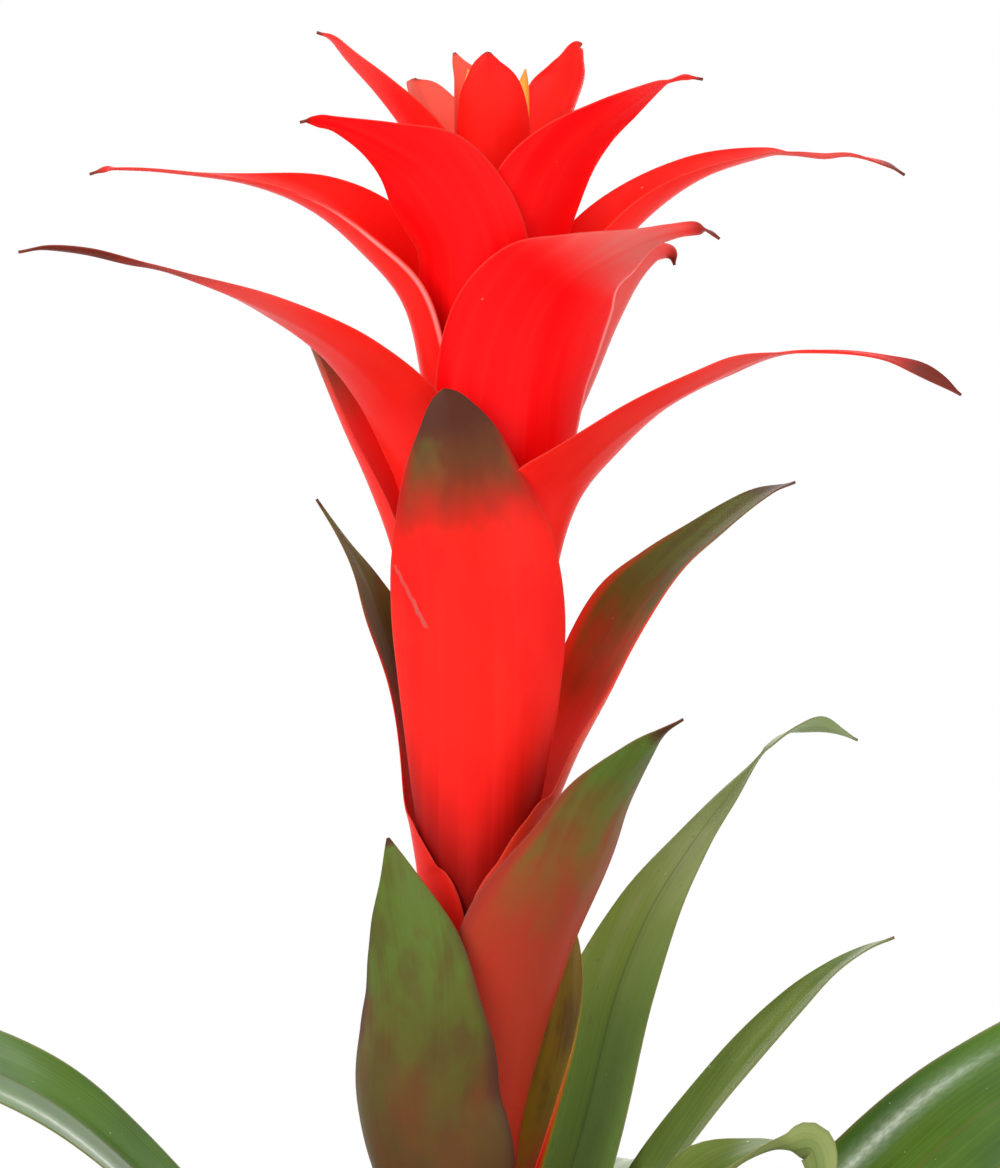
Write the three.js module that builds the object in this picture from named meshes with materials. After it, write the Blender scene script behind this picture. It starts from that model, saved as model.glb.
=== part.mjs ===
// A guzmania, a bromeliad of the rainforest, cut at its base and standing on the table.
// One upright flower stem rises out of a rosette of arching strap leaves. Red bracts with green
// tips clasp the stem in a spiral and flare into a loose star, and flower buds sit in its heart.
// Millimetres, +Z up, +X to the right and -Y to the viewer. The origin is the centre of the cut.

import * as THREE from "three";

// Driving dimensions
const LEAN = 0.022; // how far the plant leans to the right for each millimetre of height
const STEM = [[0, 12.5], [75, 11.5], [115, 7.4], [250, 5.8], [340, 4.5], [370, 3.6]]; // height, radius
const STEM_SIDES = 14;
const MIDDLE = 0.75; // thickness of a bract or a leaf along its midrib
const RIM = 0.35; // thickness of its two edges
const ACROSS = 6; // facets across a bract or a leaf
const BUD_TURNS = [110, -130, -10]; // the directions in which the buds lean
const BUD_LENGTH = 49.5;
const BUD_RADIUS = 2.5;
const BUD_SIDES = 12;
const BUD_FOOT = 373.4; // height of a bud's foot
const BUD_SPREAD = 2.4; // distance of that foot from the middle
const BUD_TILT = 5; // degrees

const FINISH = {
  red: [0xdd1c12, 0.42],
  blush: [0xa83a24, 0.45],
  green: [0x4f7d2d, 0.4],
  yellow: [0xf0b23a, 0.5],
  stalk: [0x8a8f4a, 0.6],
};

const toRadians = THREE.MathUtils.degToRad;

// Each piece is shaped about an upright axis and then leans with the plant.
function piece(name, finish, geometry) {
  const [color, roughness] = FINISH[finish];
  geometry.applyMatrix4(new THREE.Matrix4().makeShear(0, 0, 0, 0, LEAN, 0));
  geometry.computeVertexNormals();
  const material = new THREE.MeshStandardMaterial({ color, roughness, metalness: 0 });
  const mesh = new THREE.Mesh(geometry, material);
  mesh.name = name;
  return mesh;
}

function smoothCurve(points) {
  return new THREE.CatmullRomCurve3(points, false, "catmullrom");
}

// A bract or a leaf is a thin slab bent to a strap. Its stations run from foot to tip, each one
// [height, out, side, half width, cup, roll]: the midrib's place in the upright plane that faces
// `turn` degrees to the right of the viewer, and how far it strays beside that plane; half of the
// strap's width; the radius its section curls to, or 0 to curl round the stem; and how far it
// rolls about its midrib, in degrees.
function strap(turn, stations) {
  const facing = toRadians(turn);
  const outward = new THREE.Vector3(Math.sin(facing), -Math.cos(facing), 0);
  const sideways = new THREE.Vector3(Math.cos(facing), Math.sin(facing), 0);
  const midrib = smoothCurve(stations.map(([height, out, side]) =>
    new THREE.Vector3(0, 0, height).addScaledVector(outward, out).addScaledVector(sideways, side)));
  const section = smoothCurve(stations.map(([, out, , half, cup, roll]) =>
    new THREE.Vector3(half, cup || out, toRadians(roll || 0))));

  const slab = new THREE.BoxGeometry(2, 1, 1, ACROSS, stations.length, 1);
  const vertices = slab.attributes.position;
  for (let i = 0; i < vertices.count; i += 1) {
    const share = vertices.getX(i);
    const t = vertices.getY(i) + 0.5;
    const skin = vertices.getZ(i);
    const point = strapPoint(midrib, section, sideways, t, share, skin);
    vertices.setXYZ(i, point.x, point.y, point.z);
  }
  return slab;
}

// The point at t along a strap, at share -1 to 1 of its half width, on its inner skin at -0.5 or
// its outer skin at 0.5.
function strapPoint(midrib, section, sideways, t, share, skin) {
  const reach = 1e-3;
  const behind = midrib.getPoint(Math.max(0, t - reach));
  const along = midrib.getPoint(Math.min(1, t + reach)).sub(behind).normalize();
  const { x: half, y: cup, z: roll } = section.getPoint(t);
  const across = sideways.clone().addScaledVector(along, -sideways.dot(along)).normalize();
  const outer = across.clone().cross(along).normalize();
  across.applyAxisAngle(along, roll);
  outer.applyAxisAngle(along, roll);
  const curl = (share * half) / cup;
  const radius = cup + skin * THREE.MathUtils.lerp(MIDDLE, RIM, share * share);
  return midrib.getPoint(t)
    .addScaledVector(across, radius * Math.sin(curl))
    .addScaledVector(outer, radius * Math.cos(curl) - cup);
}

// The bracts, from the lowest on the stem to the highest: turn, finish and stations.
const BRACTS = [
  // short, green and broad, at the front left
  [-28, "green", [[118, 8.6, 0, 9], [138, 13, 0, 17], [160, 18, -1, 23.8, 24.5],
    [176, 22, -1.4, 25, 25], [190, 24.8, -0.8, 22, 25.5], [202, 26.8, -0.8, 17.8, 26],
    [213, 27.4, -2.2, 13.8, 26], [222, 27.5, -4, 9.8, 24], [231, 27, -6.5, 4.8, 18],
    [239, 26.2, -9.5, 0.6, 12]]],
  // short, at the right, with its olive inner face to the viewer
  [118, "blush", [[124, 8.6, 0, 9], [140, 12, 0, 14], [158, 16, 0, 16], [176, 20.5, 0, 15, 19],
    [190, 23.6, 0, 13.5, 23], [202, 25.2, 0, 11, 24], [212, 25.6, 0, 7, 18], [219, 25.4, 0, 0.6, 10]]],
  // thin and olive, at the left, opening outwards behind the big front bract
  [-118, "blush", [[130, 8.6, 0, 9], [160, 10, 0, 12], [190, 11.1, 2, 15.5, 11.3, 10],
    [217, 11.6, 4.9, 18.2, 12.6, 23], [229, 13.6, 2.8, 16, 14.2, 12], [238, 15.6, 1.2, 14.4, 17.5, 5],
    [246, 17, 0, 12.8, 22], [260, 18.6, 0, 12.2, 28], [276, 21.4, 0, 11.5, 30],
    [291, 26.6, 0, 9.8, 30], [302, 31.5, 0, 8, 26], [311, 37, 0, 5, 18], [320, 45, 0, 0.5, 10]]],
  // green above and red below, at the front right
  [42, "blush", [[137, 8.4, 0, 8], [158, 10.6, 0, 12], [174, 12.6, 0, 15], [188, 15, 0, 17, 17],
    [201, 18.4, 0, 19.5, 22], [217, 23.6, 0.6, 20.5, 26], [234, 31, 4, 17, 26],
    [245, 36, 5.4, 13.6, 26], [253, 40.5, 7.4, 10.5, 24], [260.5, 46.5, 10.5, 6, 18],
    [268, 55, 15, 0.6, 10]]],
  // brown green, at the right, with its inner face to the viewer
  [115, "blush", [[144, 8, 0, 8], [170, 9.1, 0, 10], [196, 10.3, -2, 13.6, 10.8, -12],
    [217, 10.6, -6.2, 19.8, 12.2, -31], [229, 12.6, -4.6, 18.3, 13.8, -20],
    [238, 15.4, -2.2, 17.6, 16.2, -9], [246, 18.2, 0, 17, 20], [259, 23.6, 0, 17, 25],
    [272, 29, 0, 16, 28], [285, 35, 0, 15, 30], [296, 42.5, 0, 13, 30], [305, 50.5, 0, 10.5, 26],
    [312, 58, 0, 7.5, 20], [318.5, 68, 0, 4.5, 14], [324, 82.5, 0, 0.5, 8]]],
  // at the back
  [160, "red", [[172, 7.7, 0, 3.6], [196, 8.5, 0, 4], [218, 10, 0, 4.8], [236, 11.7, 0, 5.2],
    [252, 14, 0, 6], [264, 17.4, 0, 8.4, 20], [277, 25, 0, 11, 20], [287, 36, 2, 9, 18],
    [293, 48, 5, 5.6, 14], [295, 60, 9, 0.6, 8]]],
  // at the back left, upright
  [-144, "red", [[164, 7.8, 0, 3.8], [190, 9, 0, 4.4], [214, 10.5, 0, 5], [236, 12.1, 0, 5.4],
    [258, 14.8, 0, 6.8, 16], [276, 18.8, 0, 9, 18], [291, 24.6, 0, 9, 18], [302, 29.6, 0, 5.6, 14],
    [309, 34, 0, 0.6, 8]]],
  // the big one at the front, with a dark green tip
  [-2, "red", [[165, 7.7, 0, 8], [196, 8.6, 0, 11], [217, 9.6, 0, 12.6, 10.6],
    [230, 11.2, 0, 14.4, 13], [241, 13.6, 0, 17, 16.4], [257, 17.2, 0, 20.3, 20],
    [272, 20.4, 0, 23, 23], [289, 23.6, -0.5, 24.8, 25], [306, 26.4, -2, 22.8, 26],
    [321, 27.8, -4.4, 17.4, 26], [334, 28, -6, 12, 22], [342, 27.8, -7.4, 7, 16],
    [347, 27.4, -8.4, 0.8, 8]]],
  // at the left, with its inner face to the viewer
  [-108, "blush", [[182, 7.4, 0, 6.5], [210, 8.6, 0, 8.5], [238, 10.4, 0, 11],
    [264, 13.2, 0, 13.5, 15], [290, 17, 0, 15, 17], [308, 21, 0, 15.5, 19], [323, 26.6, 0, 14.5, 19],
    [337, 33.4, 0, 12.5, 18], [350, 39.6, 0, 9, 14], [359, 44, 0, 5, 9], [365, 47.5, 0, 0.6, 5]]],
  // long, flaring to the right with a drooping dark tip
  [50, "red", [[190, 7.1, 0, 7.5], [220, 8.4, 0, 10.3], [250, 10.8, 0, 13.4], [280, 14.2, 0, 16, 17],
    [303, 17.2, 0, 16.4, 20, -3], [320, 20.4, 0, 15, 26, -5], [331.5, 29.2, 1, 12.6, 38, -3],
    [341.4, 46, 1.4, 10.4, 40], [348.8, 64.6, 4, 7.6, 30], [353, 84, 10, 5.2, 22],
    [351.4, 103, 19.6, 3.6, 14], [344, 117.6, 28, 0.5, 6]]],
  // at the back, flaring away
  [176, "red", [[198, 7.1, 0, 6], [226, 8.1, 0, 7.5], [254, 10, 0, 9], [282, 13.6, 0, 10.6, 16],
    [306, 19.4, 0, 9.8, 19], [325, 29.6, 0, 11.6, 22], [338, 44.4, 0, 11.5, 24], [345, 62, 0, 9, 20],
    [344, 82, 0, 5.5, 14], [336, 99, 0, 0.6, 6]]],
  // the longest, flaring to the left with a drooping dark tip
  [-48, "red", [[206, 6.9, 0, 7.5], [236, 8.2, 0, 10.3], [266, 10.6, 0, 13], [298, 14.6, 0, 15.5, 17],
    [325, 19.6, 0, 16, 19, 8], [341, 28, -3, 13.4, 26, 18], [353.6, 44.4, -3, 13.4, 34, 4],
    [363.6, 61.6, -8, 10.6, 30, -2], [371.6, 81, -18, 7.6, 22], [377.2, 99.6, -29, 4.8, 14],
    [376.8, 113.5, -40, 0.5, 6]]],
  // at the back left, upright
  [-156, "red", [[226, 6.8, 0, 3.8], [250, 7.9, 0, 4.4], [274, 9.8, 0, 5.4], [298, 12.8, 0, 7.4],
    [322, 17, -2.5, 9, 17], [342, 22.6, -6, 9, 17], [356, 28.6, -8, 8, 14], [366, 35, -10, 0.6, 6]]],
  // broad, at the front right, folding over to the right
  [20, "red", [[232, 6.8, 0, 7.5], [258, 8.2, 0, 11], [284, 11, 0, 15], [310, 14.4, 1, 18, 17],
    [330, 17.6, 2, 20, 20], [348, 20, 2.6, 21.5, 25], [361, 23, 5.4, 21.5, 32],
    [370.6, 28.6, 10, 19, 38], [376.4, 36.4, 16.6, 13.4, 38], [380, 46.4, 25.4, 7.6, 30],
    [381.6, 56, 35.6, 0.6, 8]]],
  // at the back right, flaring away
  [154, "red", [[236, 6.8, 0, 2], [252, 8.2, 0, 2.4], [268, 9.3, 0, 2.8], [290, 11.4, 0, 3.2],
    [316, 15, 0, 3.6], [340, 19.6, 0, 6.4, 17], [358, 26.8, 0, 9, 18], [371, 36, 0, 8.4, 16],
    [378, 47, 0, 5, 10], [379, 57, 0, 0.6, 5]]],
  // narrow, at the right behind the broad one, with a hooked tip
  [104, "red", [[248, 6.7, 0, 5], [266, 7.7, 0, 6], [284, 9, 0, 7.2], [302, 10.4, 0, 8],
    [320, 14.4, 0, 8.8, 15, -6], [338, 21, 0, 10.2, 17, -12], [351, 26.4, 0, 10, 18, -12],
    [363, 31.6, 0, 9.5, 18, -6], [374, 37.4, 0, 7.5, 14], [381, 42, 0, 5, 9], [382, 45, 0, 3.4, 7],
    [377.6, 46.4, 0, 0.6, 5]]],
  // long and channelled, flaring to the left
  [-85, "red", [[250, 6.8, 0, 7], [278, 8.4, 0, 10], [306, 10.6, 0, 13], [332, 13.8, 0, 15.5, 16],
    [352, 17.6, 0, 16.8, 19, -6], [368.5, 23, 0, 16.4, 21, -14], [380.5, 31.4, 0, 14, 22, -17],
    [389.5, 43, -1, 10.4, 20, -17], [395.4, 58, -3, 6.6, 17, -14], [398.2, 77, -7, 4.2, 12, -8],
    [399, 97, -12, 0.5, 5]]],
  // long and channelled, flaring to the right
  [95, "red", [[259, 6.3, 0, 6.4], [284, 7.8, 0, 8.4], [314, 10.4, 0, 12], [341, 14.4, 0, 15.5, 16],
    [361, 19.4, 0, 17, 20, 6], [376.5, 27.6, 0, 17, 22, 13], [388.8, 38.6, 0, 14.5, 21, 15],
    [397.6, 51, 1, 10.6, 17, 15], [402.8, 66, 2, 7, 13, 10], [404, 83, 3, 4.6, 9, 4],
    [399.4, 100.5, 4, 0.5, 5]]],
  // at the back, flaring away
  [-168, "red", [[268, 6.3, 0, 3.8], [294, 7.3, 0, 4.4], [320, 9.2, 0, 5.6], [344, 12.6, 0, 8, 14],
    [364, 18.4, 0, 9.2, 17], [379, 28, 0, 10.4, 20], [389, 41, 0, 9.5, 18], [394, 56, 0, 6.5, 12],
    [392, 71, 0, 0.6, 5]]],
  // at the front left, folding over to the left
  [-20, "red", [[277, 6.2, 0, 7.2], [302, 7.9, 0, 10.5], [328, 10.5, 0, 13.5], [350, 13.4, 0, 16],
    [367, 16.2, 0, 17, 18], [380, 19.2, 0, 16.6, 20], [389.5, 22.6, -4.2, 16.4, 24],
    [396.5, 27, -10.4, 13.6, 28], [402.4, 33, -17, 8.6, 28], [406.4, 39, -24, 5, 20],
    [409.6, 44.6, -32, 0.6, 6]]],
  // at the front right, pointing up to the right
  [35, "red", [[287, 6, 0, 7], [310, 7.1, 0, 9.5], [334, 9.2, 0, 12], [356, 12, 0, 14, 14],
    [373, 15, 0.6, 15, 17], [386, 18, 2, 15.6, 20], [396.4, 22.4, 4.4, 14.6, 24],
    [404.6, 29, 7, 12, 26], [411.4, 38, 11, 8.4, 22], [416.8, 47, 15.6, 4.8, 14],
    [419.4, 54.5, 19.6, 0.5, 6]]],
  // at the left, pointing up to the left
  [-75, "red", [[304, 6, 0, 6.5], [328, 7.4, 0, 9], [352, 9.4, 0, 11.5], [374, 11.8, 0, 13.5, 13],
    [388, 13.8, 0, 14.2, 14], [399.4, 17.4, 0, 14.2, 16], [409, 22.8, 0, 12.8, 16],
    [418, 29.8, 0, 10.2, 14], [425.6, 36.8, 0, 6.4, 10], [432, 44, 0, 0.5, 4]]],
  // at the back right, with its inner face to the viewer
  [125, "red", [[314, 5.9, 0, 4.6], [336, 7, 0, 5.4], [360, 8.8, 0, 7], [382, 11.8, 0, 10.2, 12],
    [399, 15.2, 0, 11, 14], [412, 19.6, 0, 11, 15], [421, 23, 0, 9, 13], [427, 25.4, 0, 5, 8],
    [430.5, 26.4, 0, 0.7, 5]]],
  // small, at the back left, with its inner face to the viewer
  [-140, "red", [[324, 5.7, 0, 4.4], [346, 7, 0, 5.2], [368, 9.4, 0, 7], [388, 12.4, 0, 8.8, 13],
    [402, 16.8, 0, 9, 15], [412, 23, 0, 9, 15], [419.5, 29, 0, 7.2, 11], [423.6, 34, 0, 0.8, 5]]],
  // at the back, flaring away
  [178, "red", [[333, 5.4, 0, 3.6], [354, 6.5, 0, 4.4], [374, 8.2, 0, 5], [390, 10.4, 0, 4.6, 12],
    [401, 14, 0, 3, 13], [409, 21.4, 0, 4.2, 12], [414, 33, 0, 4.2, 8], [413, 44, 0, 0.6, 4]]],
  // narrow and upright, at the back left of the heart
  [-165, "red", [[348, 5, 0, 4.4], [364, 5.6, 0, 6], [382, 7.2, 0, 8, 9], [400, 9.2, 0, 9, 10],
    [412, 10.6, 1.6, 7.6, 10.5], [421, 12, 3.6, 4.8, 8.5], [427.5, 13.4, 5.6, 0.6, 5]]],
  // small and upright, at the front of the heart
  [0, "red", [[351, 5.4, 0, 5.5], [369, 6.2, 0, 7.5], [386, 7.6, 0, 9.2, 9.5], [400, 9.4, 0, 10, 10.6],
    [410, 11, 0, 9.8, 11], [418, 12.2, -0.3, 7.4, 11], [423.4, 12.8, -0.7, 4.1, 9],
    [426.8, 12.8, -1, 0.7, 5]]],
];

// The leaves of the rosette that rise into view, as the bracts are given.
const UPPER_LEAVES = [
  // tall, behind at the right, twisted to its edge below a tip that bends over
  [135, [[84, 12.4, 0, 13], [110, 18, 0, 17, 22], [140, 28, 0, 19, 30], [170, 37.6, 0, 18, 36],
    [199, 48, 0, 14.5, 40, 4], [220, 61, 0, 9.4, 36, 8], [235, 76, 0, 5.6, 30, 16],
    [246, 89, 0, 3.2, 24, 40], [257, 101, 0, 3.6, 20, 34], [264.4, 113, 0, 4.6, 18, 4],
    [262.5, 129.5, 0, 0.6, 8]]],
  // slender, at the right
  [98, [[70, 12.6, 0, 12], [95, 17, 0, 14, 18], [125, 28, 0, 15, 22], [150, 42, 0, 14, 22, 3],
    [170, 55.6, 0, 12, 22, 12], [186, 68, 0, 10, 20, 18], [198.5, 79, 0, 7.6, 16, 18],
    [208.6, 90, 0, 4.6, 12, 8], [215, 101, 0, 0.6, 8]]],
  // narrow, at the left edge of the view
  [-90, [[61, 13.2, 0, 10, 14], [87, 24, 0, 13, 24], [115, 42, 0, 14.5, 38, -10],
    [142, 64, 0, 15, 50, -20], [164, 85, 0, 15, 56, -24], [179.6, 107, 0, 15, 56, -24],
    [190, 136, 0, 14.5, 52, -22], [191, 172, 0, 12.5, 42, -14], [174, 212, 0, 9, 28, -6],
    [142, 244, 0, 0.6, 10]]],
  // wide and glossy, at the right edge of the view
  [108, [[46, 13.2, 0, 10, 14], [70, 27, 0, 16, 26], [99, 50, 0, 19, 38, 12],
    [123, 76, 0, 20.5, 52, 24], [146, 103, 0, 21, 58, 32], [171, 134, 0, 20.5, 56, 34],
    [187, 168, 0, 18.5, 50, 30], [188, 204, 0, 14.5, 38, 22], [169, 238, 0, 8.5, 26, 10],
    [138, 262, 0, 0.6, 10]]],
];

// The other leaves, from the highest to the lowest: turn, foot height, height of the arch, reach,
// height of the tip and half width. The tips of the lowest eight rest near the table.
const ARCHED_LEAVES = [
  [62, 64, 167, 122, 128, 17],
  [162, 60, 150, 215, 70, 15],
  [12, 54, 150, 190, 80, 17],
  [-128, 51, 140, 235, 60, 18],
  [-43, 45, 140, 225, 60, 19],
  [178, 42, 130, 240, 45, 19],
  [40, 39, 126, 235, 40, 19],
  [-98, 36, 118, 256, 25, 20],
  [126, 33, 112, 245, 20, 20],
  [-12, 30, 112, 244, 15, 19],
  [-150, 27, 102, 250, 1, 20],
  [76, 24, 98, 258, 1, 20],
  [-64, 21, 92, 255, 1, 20],
  [160, 18, 84, 248, 1, 19],
  [22, 15, 80, 250, 1, 19],
  [-116, 12, 72, 240, 1, 19],
  [100, 9, 66, 256, 1, 18],
  [-30, 7, 60, 240, 1, 18],
];

function archStations([, foot, top, reach, tip, half]) {
  const rise = top - foot;
  const drop = top - tip;
  return [
    [foot, 13.2, 0, 10, 14],
    [foot + 0.22 * rise, 13.2 + 0.05 * reach, 0, half * 0.85, 24],
    [foot + 0.55 * rise, 13 + 0.15 * reach, 0, half * 0.95, 38],
    [foot + 0.83 * rise, 0.34 * reach, 0, half, 52],
    [foot + 0.97 * rise, 0.5 * reach, 0, half, 58],
    [foot + rise, 0.64 * reach, 0, half * 0.95, 54],
    [top - 0.16 * drop, 0.79 * reach, 0, half * 0.8, 42],
    [top - 0.55 * drop, 0.92 * reach, 0, half * 0.45, 26],
    [tip, reach, 0, 0.6, 10],
  ];
}

function numbered(kind, i) {
  return `${kind}_${String(i + 1).padStart(2, "0")}`;
}

const guzmania = new THREE.Group();

// The stem with the short stock that the rosette grows on: the cut face is flat, the top domed.
const [stemTop, headRadius] = STEM[STEM.length - 1];
const stemOutline = [
  [0, 0],
  ...STEM,
  [stemTop + headRadius * 0.8, headRadius * 0.6],
  [stemTop + headRadius, 0],
].map(([height, radius]) => new THREE.Vector2(radius, height));
const stemGeometry = new THREE.LatheGeometry(stemOutline, STEM_SIDES).rotateX(Math.PI / 2);
guzmania.add(piece("stem", "stalk", stemGeometry));

// Three unopened flowers stand on the stem's tip, in the heart of the bracts.
const budOutline = [[0, 0], [0.08, 0.45], [0.25, 0.85], [0.5, 1], [0.75, 0.85], [0.92, 0.45], [1, 0]]
  .map(([along, swell]) => new THREE.Vector2(swell * BUD_RADIUS, along * BUD_LENGTH));
BUD_TURNS.forEach((turn, i) => {
  const geometry = new THREE.LatheGeometry(budOutline, BUD_SIDES)
    .rotateX(Math.PI / 2 + toRadians(BUD_TILT))
    .translate(0, -BUD_SPREAD, BUD_FOOT)
    .rotateZ(toRadians(turn));
  guzmania.add(piece(numbered("bud", i), "yellow", geometry));
});

BRACTS.forEach(([turn, finish, stations], i) => {
  guzmania.add(piece(numbered("bract", i), finish, strap(turn, stations)));
});

const leaves = [
  ...ARCHED_LEAVES.toReversed().map((leaf) => [leaf[0], archStations(leaf)]),
  ...UPPER_LEAVES.toReversed(),
];
leaves.forEach(([turn, stations], i) => {
  guzmania.add(piece(numbered("leaf", i), "green", strap(turn, stations)));
});

export default guzmania;
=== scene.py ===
import math

import bpy
import numpy as np
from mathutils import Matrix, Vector


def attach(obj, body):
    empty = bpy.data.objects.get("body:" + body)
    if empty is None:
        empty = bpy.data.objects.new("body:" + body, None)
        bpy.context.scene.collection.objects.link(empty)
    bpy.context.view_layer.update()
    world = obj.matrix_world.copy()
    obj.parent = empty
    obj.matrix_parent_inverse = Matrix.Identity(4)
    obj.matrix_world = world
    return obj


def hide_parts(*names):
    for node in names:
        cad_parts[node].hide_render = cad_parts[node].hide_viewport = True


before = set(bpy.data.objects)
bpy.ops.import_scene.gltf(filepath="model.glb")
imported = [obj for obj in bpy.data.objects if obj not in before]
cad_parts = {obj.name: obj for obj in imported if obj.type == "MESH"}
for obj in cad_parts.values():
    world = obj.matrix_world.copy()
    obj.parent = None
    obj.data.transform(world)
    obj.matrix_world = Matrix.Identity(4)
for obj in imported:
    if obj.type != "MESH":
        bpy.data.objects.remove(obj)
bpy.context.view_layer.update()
MM = 0.001

# The camera stands level with the bracts, far off and a little to the right of the stem's foot, so
# that the picture is 240 mm wide at the stem. The sensor's width spans the picture's height.
PICTURE_SIZE = (1000, 1168)
PICTURE_WIDTH = 240 * MM
CAMERA_PLACE = (10.8 * MM, -1500 * MM, 300.2 * MM)

picture_height = PICTURE_WIDTH * PICTURE_SIZE[1] / PICTURE_SIZE[0]
lens = bpy.data.cameras.new("camera")
lens.lens = lens.sensor_width * -CAMERA_PLACE[1] / picture_height
camera = bpy.data.objects.new("camera", lens)
camera.location = CAMERA_PLACE
camera.rotation_euler = (math.radians(90), 0, 0)
bpy.context.scene.collection.objects.link(camera)
bpy.context.scene.camera = camera

# The stem is one upright stalk on the short stock that the rosette grows on. It is firm, pale and
# ringed with the scars of old leaves below, and its foot is a clean flat cut.
LEAN = 0.022  # sideways for each millimetre up, in every piece
STEM = [(0, 12.5), (75, 11.5), (115, 7.4), (250, 5.8), (340, 4.5), (370, 3.6)]  # height, radius
STEM_SIDES = 48
STEM_STEP = 1.5
CUT_EDGE = [(0, 0.8), (0.25, 0.2)]  # height, and how far in from the stem's side
CUT_EDGE_TOP = 0.8
HEAD_RINGS = 8
HEAD_TURN = 1.4  # radians, nearly the quarter turn of a whole dome
SCAR_GAP = 7
SCAR_DEPTH = 0.35
SCARS_TOP = 75


def colour(red, green, blue):
    """A colour as a screen shows it, 0 to 255, as the light that a shader wants: the sRGB curve."""
    shares = [value / 255 for value in (red, green, blue)]
    light = [s / 12.92 if s <= 0.04045 else ((s + 0.055) / 1.055) ** 2.4 for s in shares]
    return (*light, 1)


PALE_FIBRE = colour(150, 160, 96)
LIGHT_FIBRE = colour(186, 190, 130)
STALK_GREEN = colour(112, 134, 66)
OLD_BROWN = colour(128, 104, 66)
SCAR_BROWN = colour(96, 76, 48)
CUT_CREAM = colour(206, 200, 150)


class Tone:
    """One output among a skin's nodes. A sum written with it adds Math nodes."""

    def __init__(self, tree, socket=None):
        self.tree = tree
        self.socket = socket

    def node(self, kind, settings, inputs, output=0):
        """Adds any node: its type, its settings, then the values or links of its sockets."""
        made = self.tree.nodes.new("ShaderNode" + kind)
        for name, value in settings.items():
            setattr(made, name, value)
        for name, value in inputs.items():
            if isinstance(value, Tone):
                self.tree.links.new(value.socket, made.inputs[name])
            else:
                made.inputs[name].default_value = value
        return Tone(self.tree, made.outputs[output])

    def sum(self, operation, first, second=0.0):
        return self.node("Math", {"operation": operation}, {0: first, 1: second})

    def __add__(self, other):
        return self.sum("ADD", self, other)

    def __sub__(self, other):
        return self.sum("SUBTRACT", self, other)

    def __mul__(self, other):
        return self.sum("MULTIPLY", self, other)

    def __radd__(self, other):
        return self.sum("ADD", other, self)

    def __rsub__(self, other):
        return self.sum("SUBTRACT", other, self)

    def __rmul__(self, other):
        return self.sum("MULTIPLY", other, self)

    def __abs__(self):
        return self.sum("ABSOLUTE", self)

    def rise(self, start, end):
        """0 on start's side, 1 on end's side, and smooth between them."""
        limits = {"Value": self, "From Min": start, "From Max": end}
        return self.node("MapRange", {"interpolation_type": "SMOOTHSTEP"}, limits)

    def band(self, start, end, soft):
        """1 between start and end, 0 away from them."""
        return self.rise(start - soft, start + soft) * self.rise(end + soft, end - soft)

    def parts(self):
        """This place's x, y and z."""
        split = self.node("SeparateXYZ", {}, {"Vector": self}).socket.node
        return [Tone(self.tree, output) for output in split.outputs]

    def attribute(self, name):
        """The place that a mesh's mark of this name gives."""
        return self.node("Attribute", {"attribute_name": name}, {}, "Vector")

    def noise(self, stretch, detail):
        """Soft noise over this place, with stretch spots for each of its units along x, y and z."""
        place = self.node("VectorMath", {"operation": "MULTIPLY"}, {0: self, 1: stretch})
        return self.node("TexNoise", {}, {"Vector": place, "Scale": 1.0, "Detail": detail})

    def over(self, under, layer, share):
        """The colour under, with the colour layer over a share of it."""
        mix = {"data_type": "RGBA", "clamp_factor": True}
        return self.node("Mix", mix, {0: share, 6: under, 7: layer}, 2)


def start_skin(name, even):
    """A new material, its shader with its even values set, and a Tone to start sums from."""
    skin = bpy.data.materials.new(name)
    skin.use_nodes = True
    shader = skin.node_tree.nodes["Principled BSDF"]
    for socket, value in even.items():
        shader.inputs[socket].default_value = value
    return skin, shader, Tone(skin.node_tree)


def feed(tone, shader, inputs, height, depth):
    """Links what changes over the surface to the shader, with height as bumps depth metres high."""
    bump = tone.node("Bump", {}, {"Height": height, "Distance": depth, "Strength": 1.0})
    for socket, value in {**inputs, "Normal": bump}.items():
        tone.tree.links.new(value.socket, shader.inputs[socket])


def finish_piece(name, points, faces, skin, replaced, marks=None):
    """A smooth piece that stands for a node, from points in millimetres that lean as the plant does.
    marks are the places that its skin reads, three numbers for each point."""
    leaning = np.array(points, float)
    leaning[:, 0] += LEAN * leaning[:, 2]
    mesh = bpy.data.meshes.new(name)
    mesh.from_pydata(leaning * MM, [], faces)
    mesh.shade_smooth()
    for mark, values in (marks or {}).items():
        layer = mesh.attributes.new(mark, "FLOAT_VECTOR", "POINT")
        layer.data.foreach_set("vector", np.asarray(values, float).ravel())
    mesh.materials.append(skin)
    piece = bpy.data.objects.new(name, mesh)
    bpy.context.scene.collection.objects.link(piece)
    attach(piece, "root")
    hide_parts(replaced)


def turned(outline, sides, swell=None):
    """Points and faces of a round solid: outline holds (height, radius), from foot to top, and
    swell(height, turn) what the radius is multiplied by."""
    turns = np.arange(sides) * math.tau / sides
    points = []
    for height, radius in outline:
        for turn in turns:
            out = radius * (swell(height, turn) if swell else 1)
            points.append((out * math.cos(turn), out * math.sin(turn), height))
    faces = []
    for row in range(len(outline) - 1):
        for side in range(sides):
            a, b = row * sides + side, row * sides + (side + 1) % sides
            faces.append((a, b, b + sides, a + sides))
    faces.append(tuple(reversed(range(sides))))
    faces.append(tuple(range(len(points) - sides, len(points))))
    return points, faces


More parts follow.
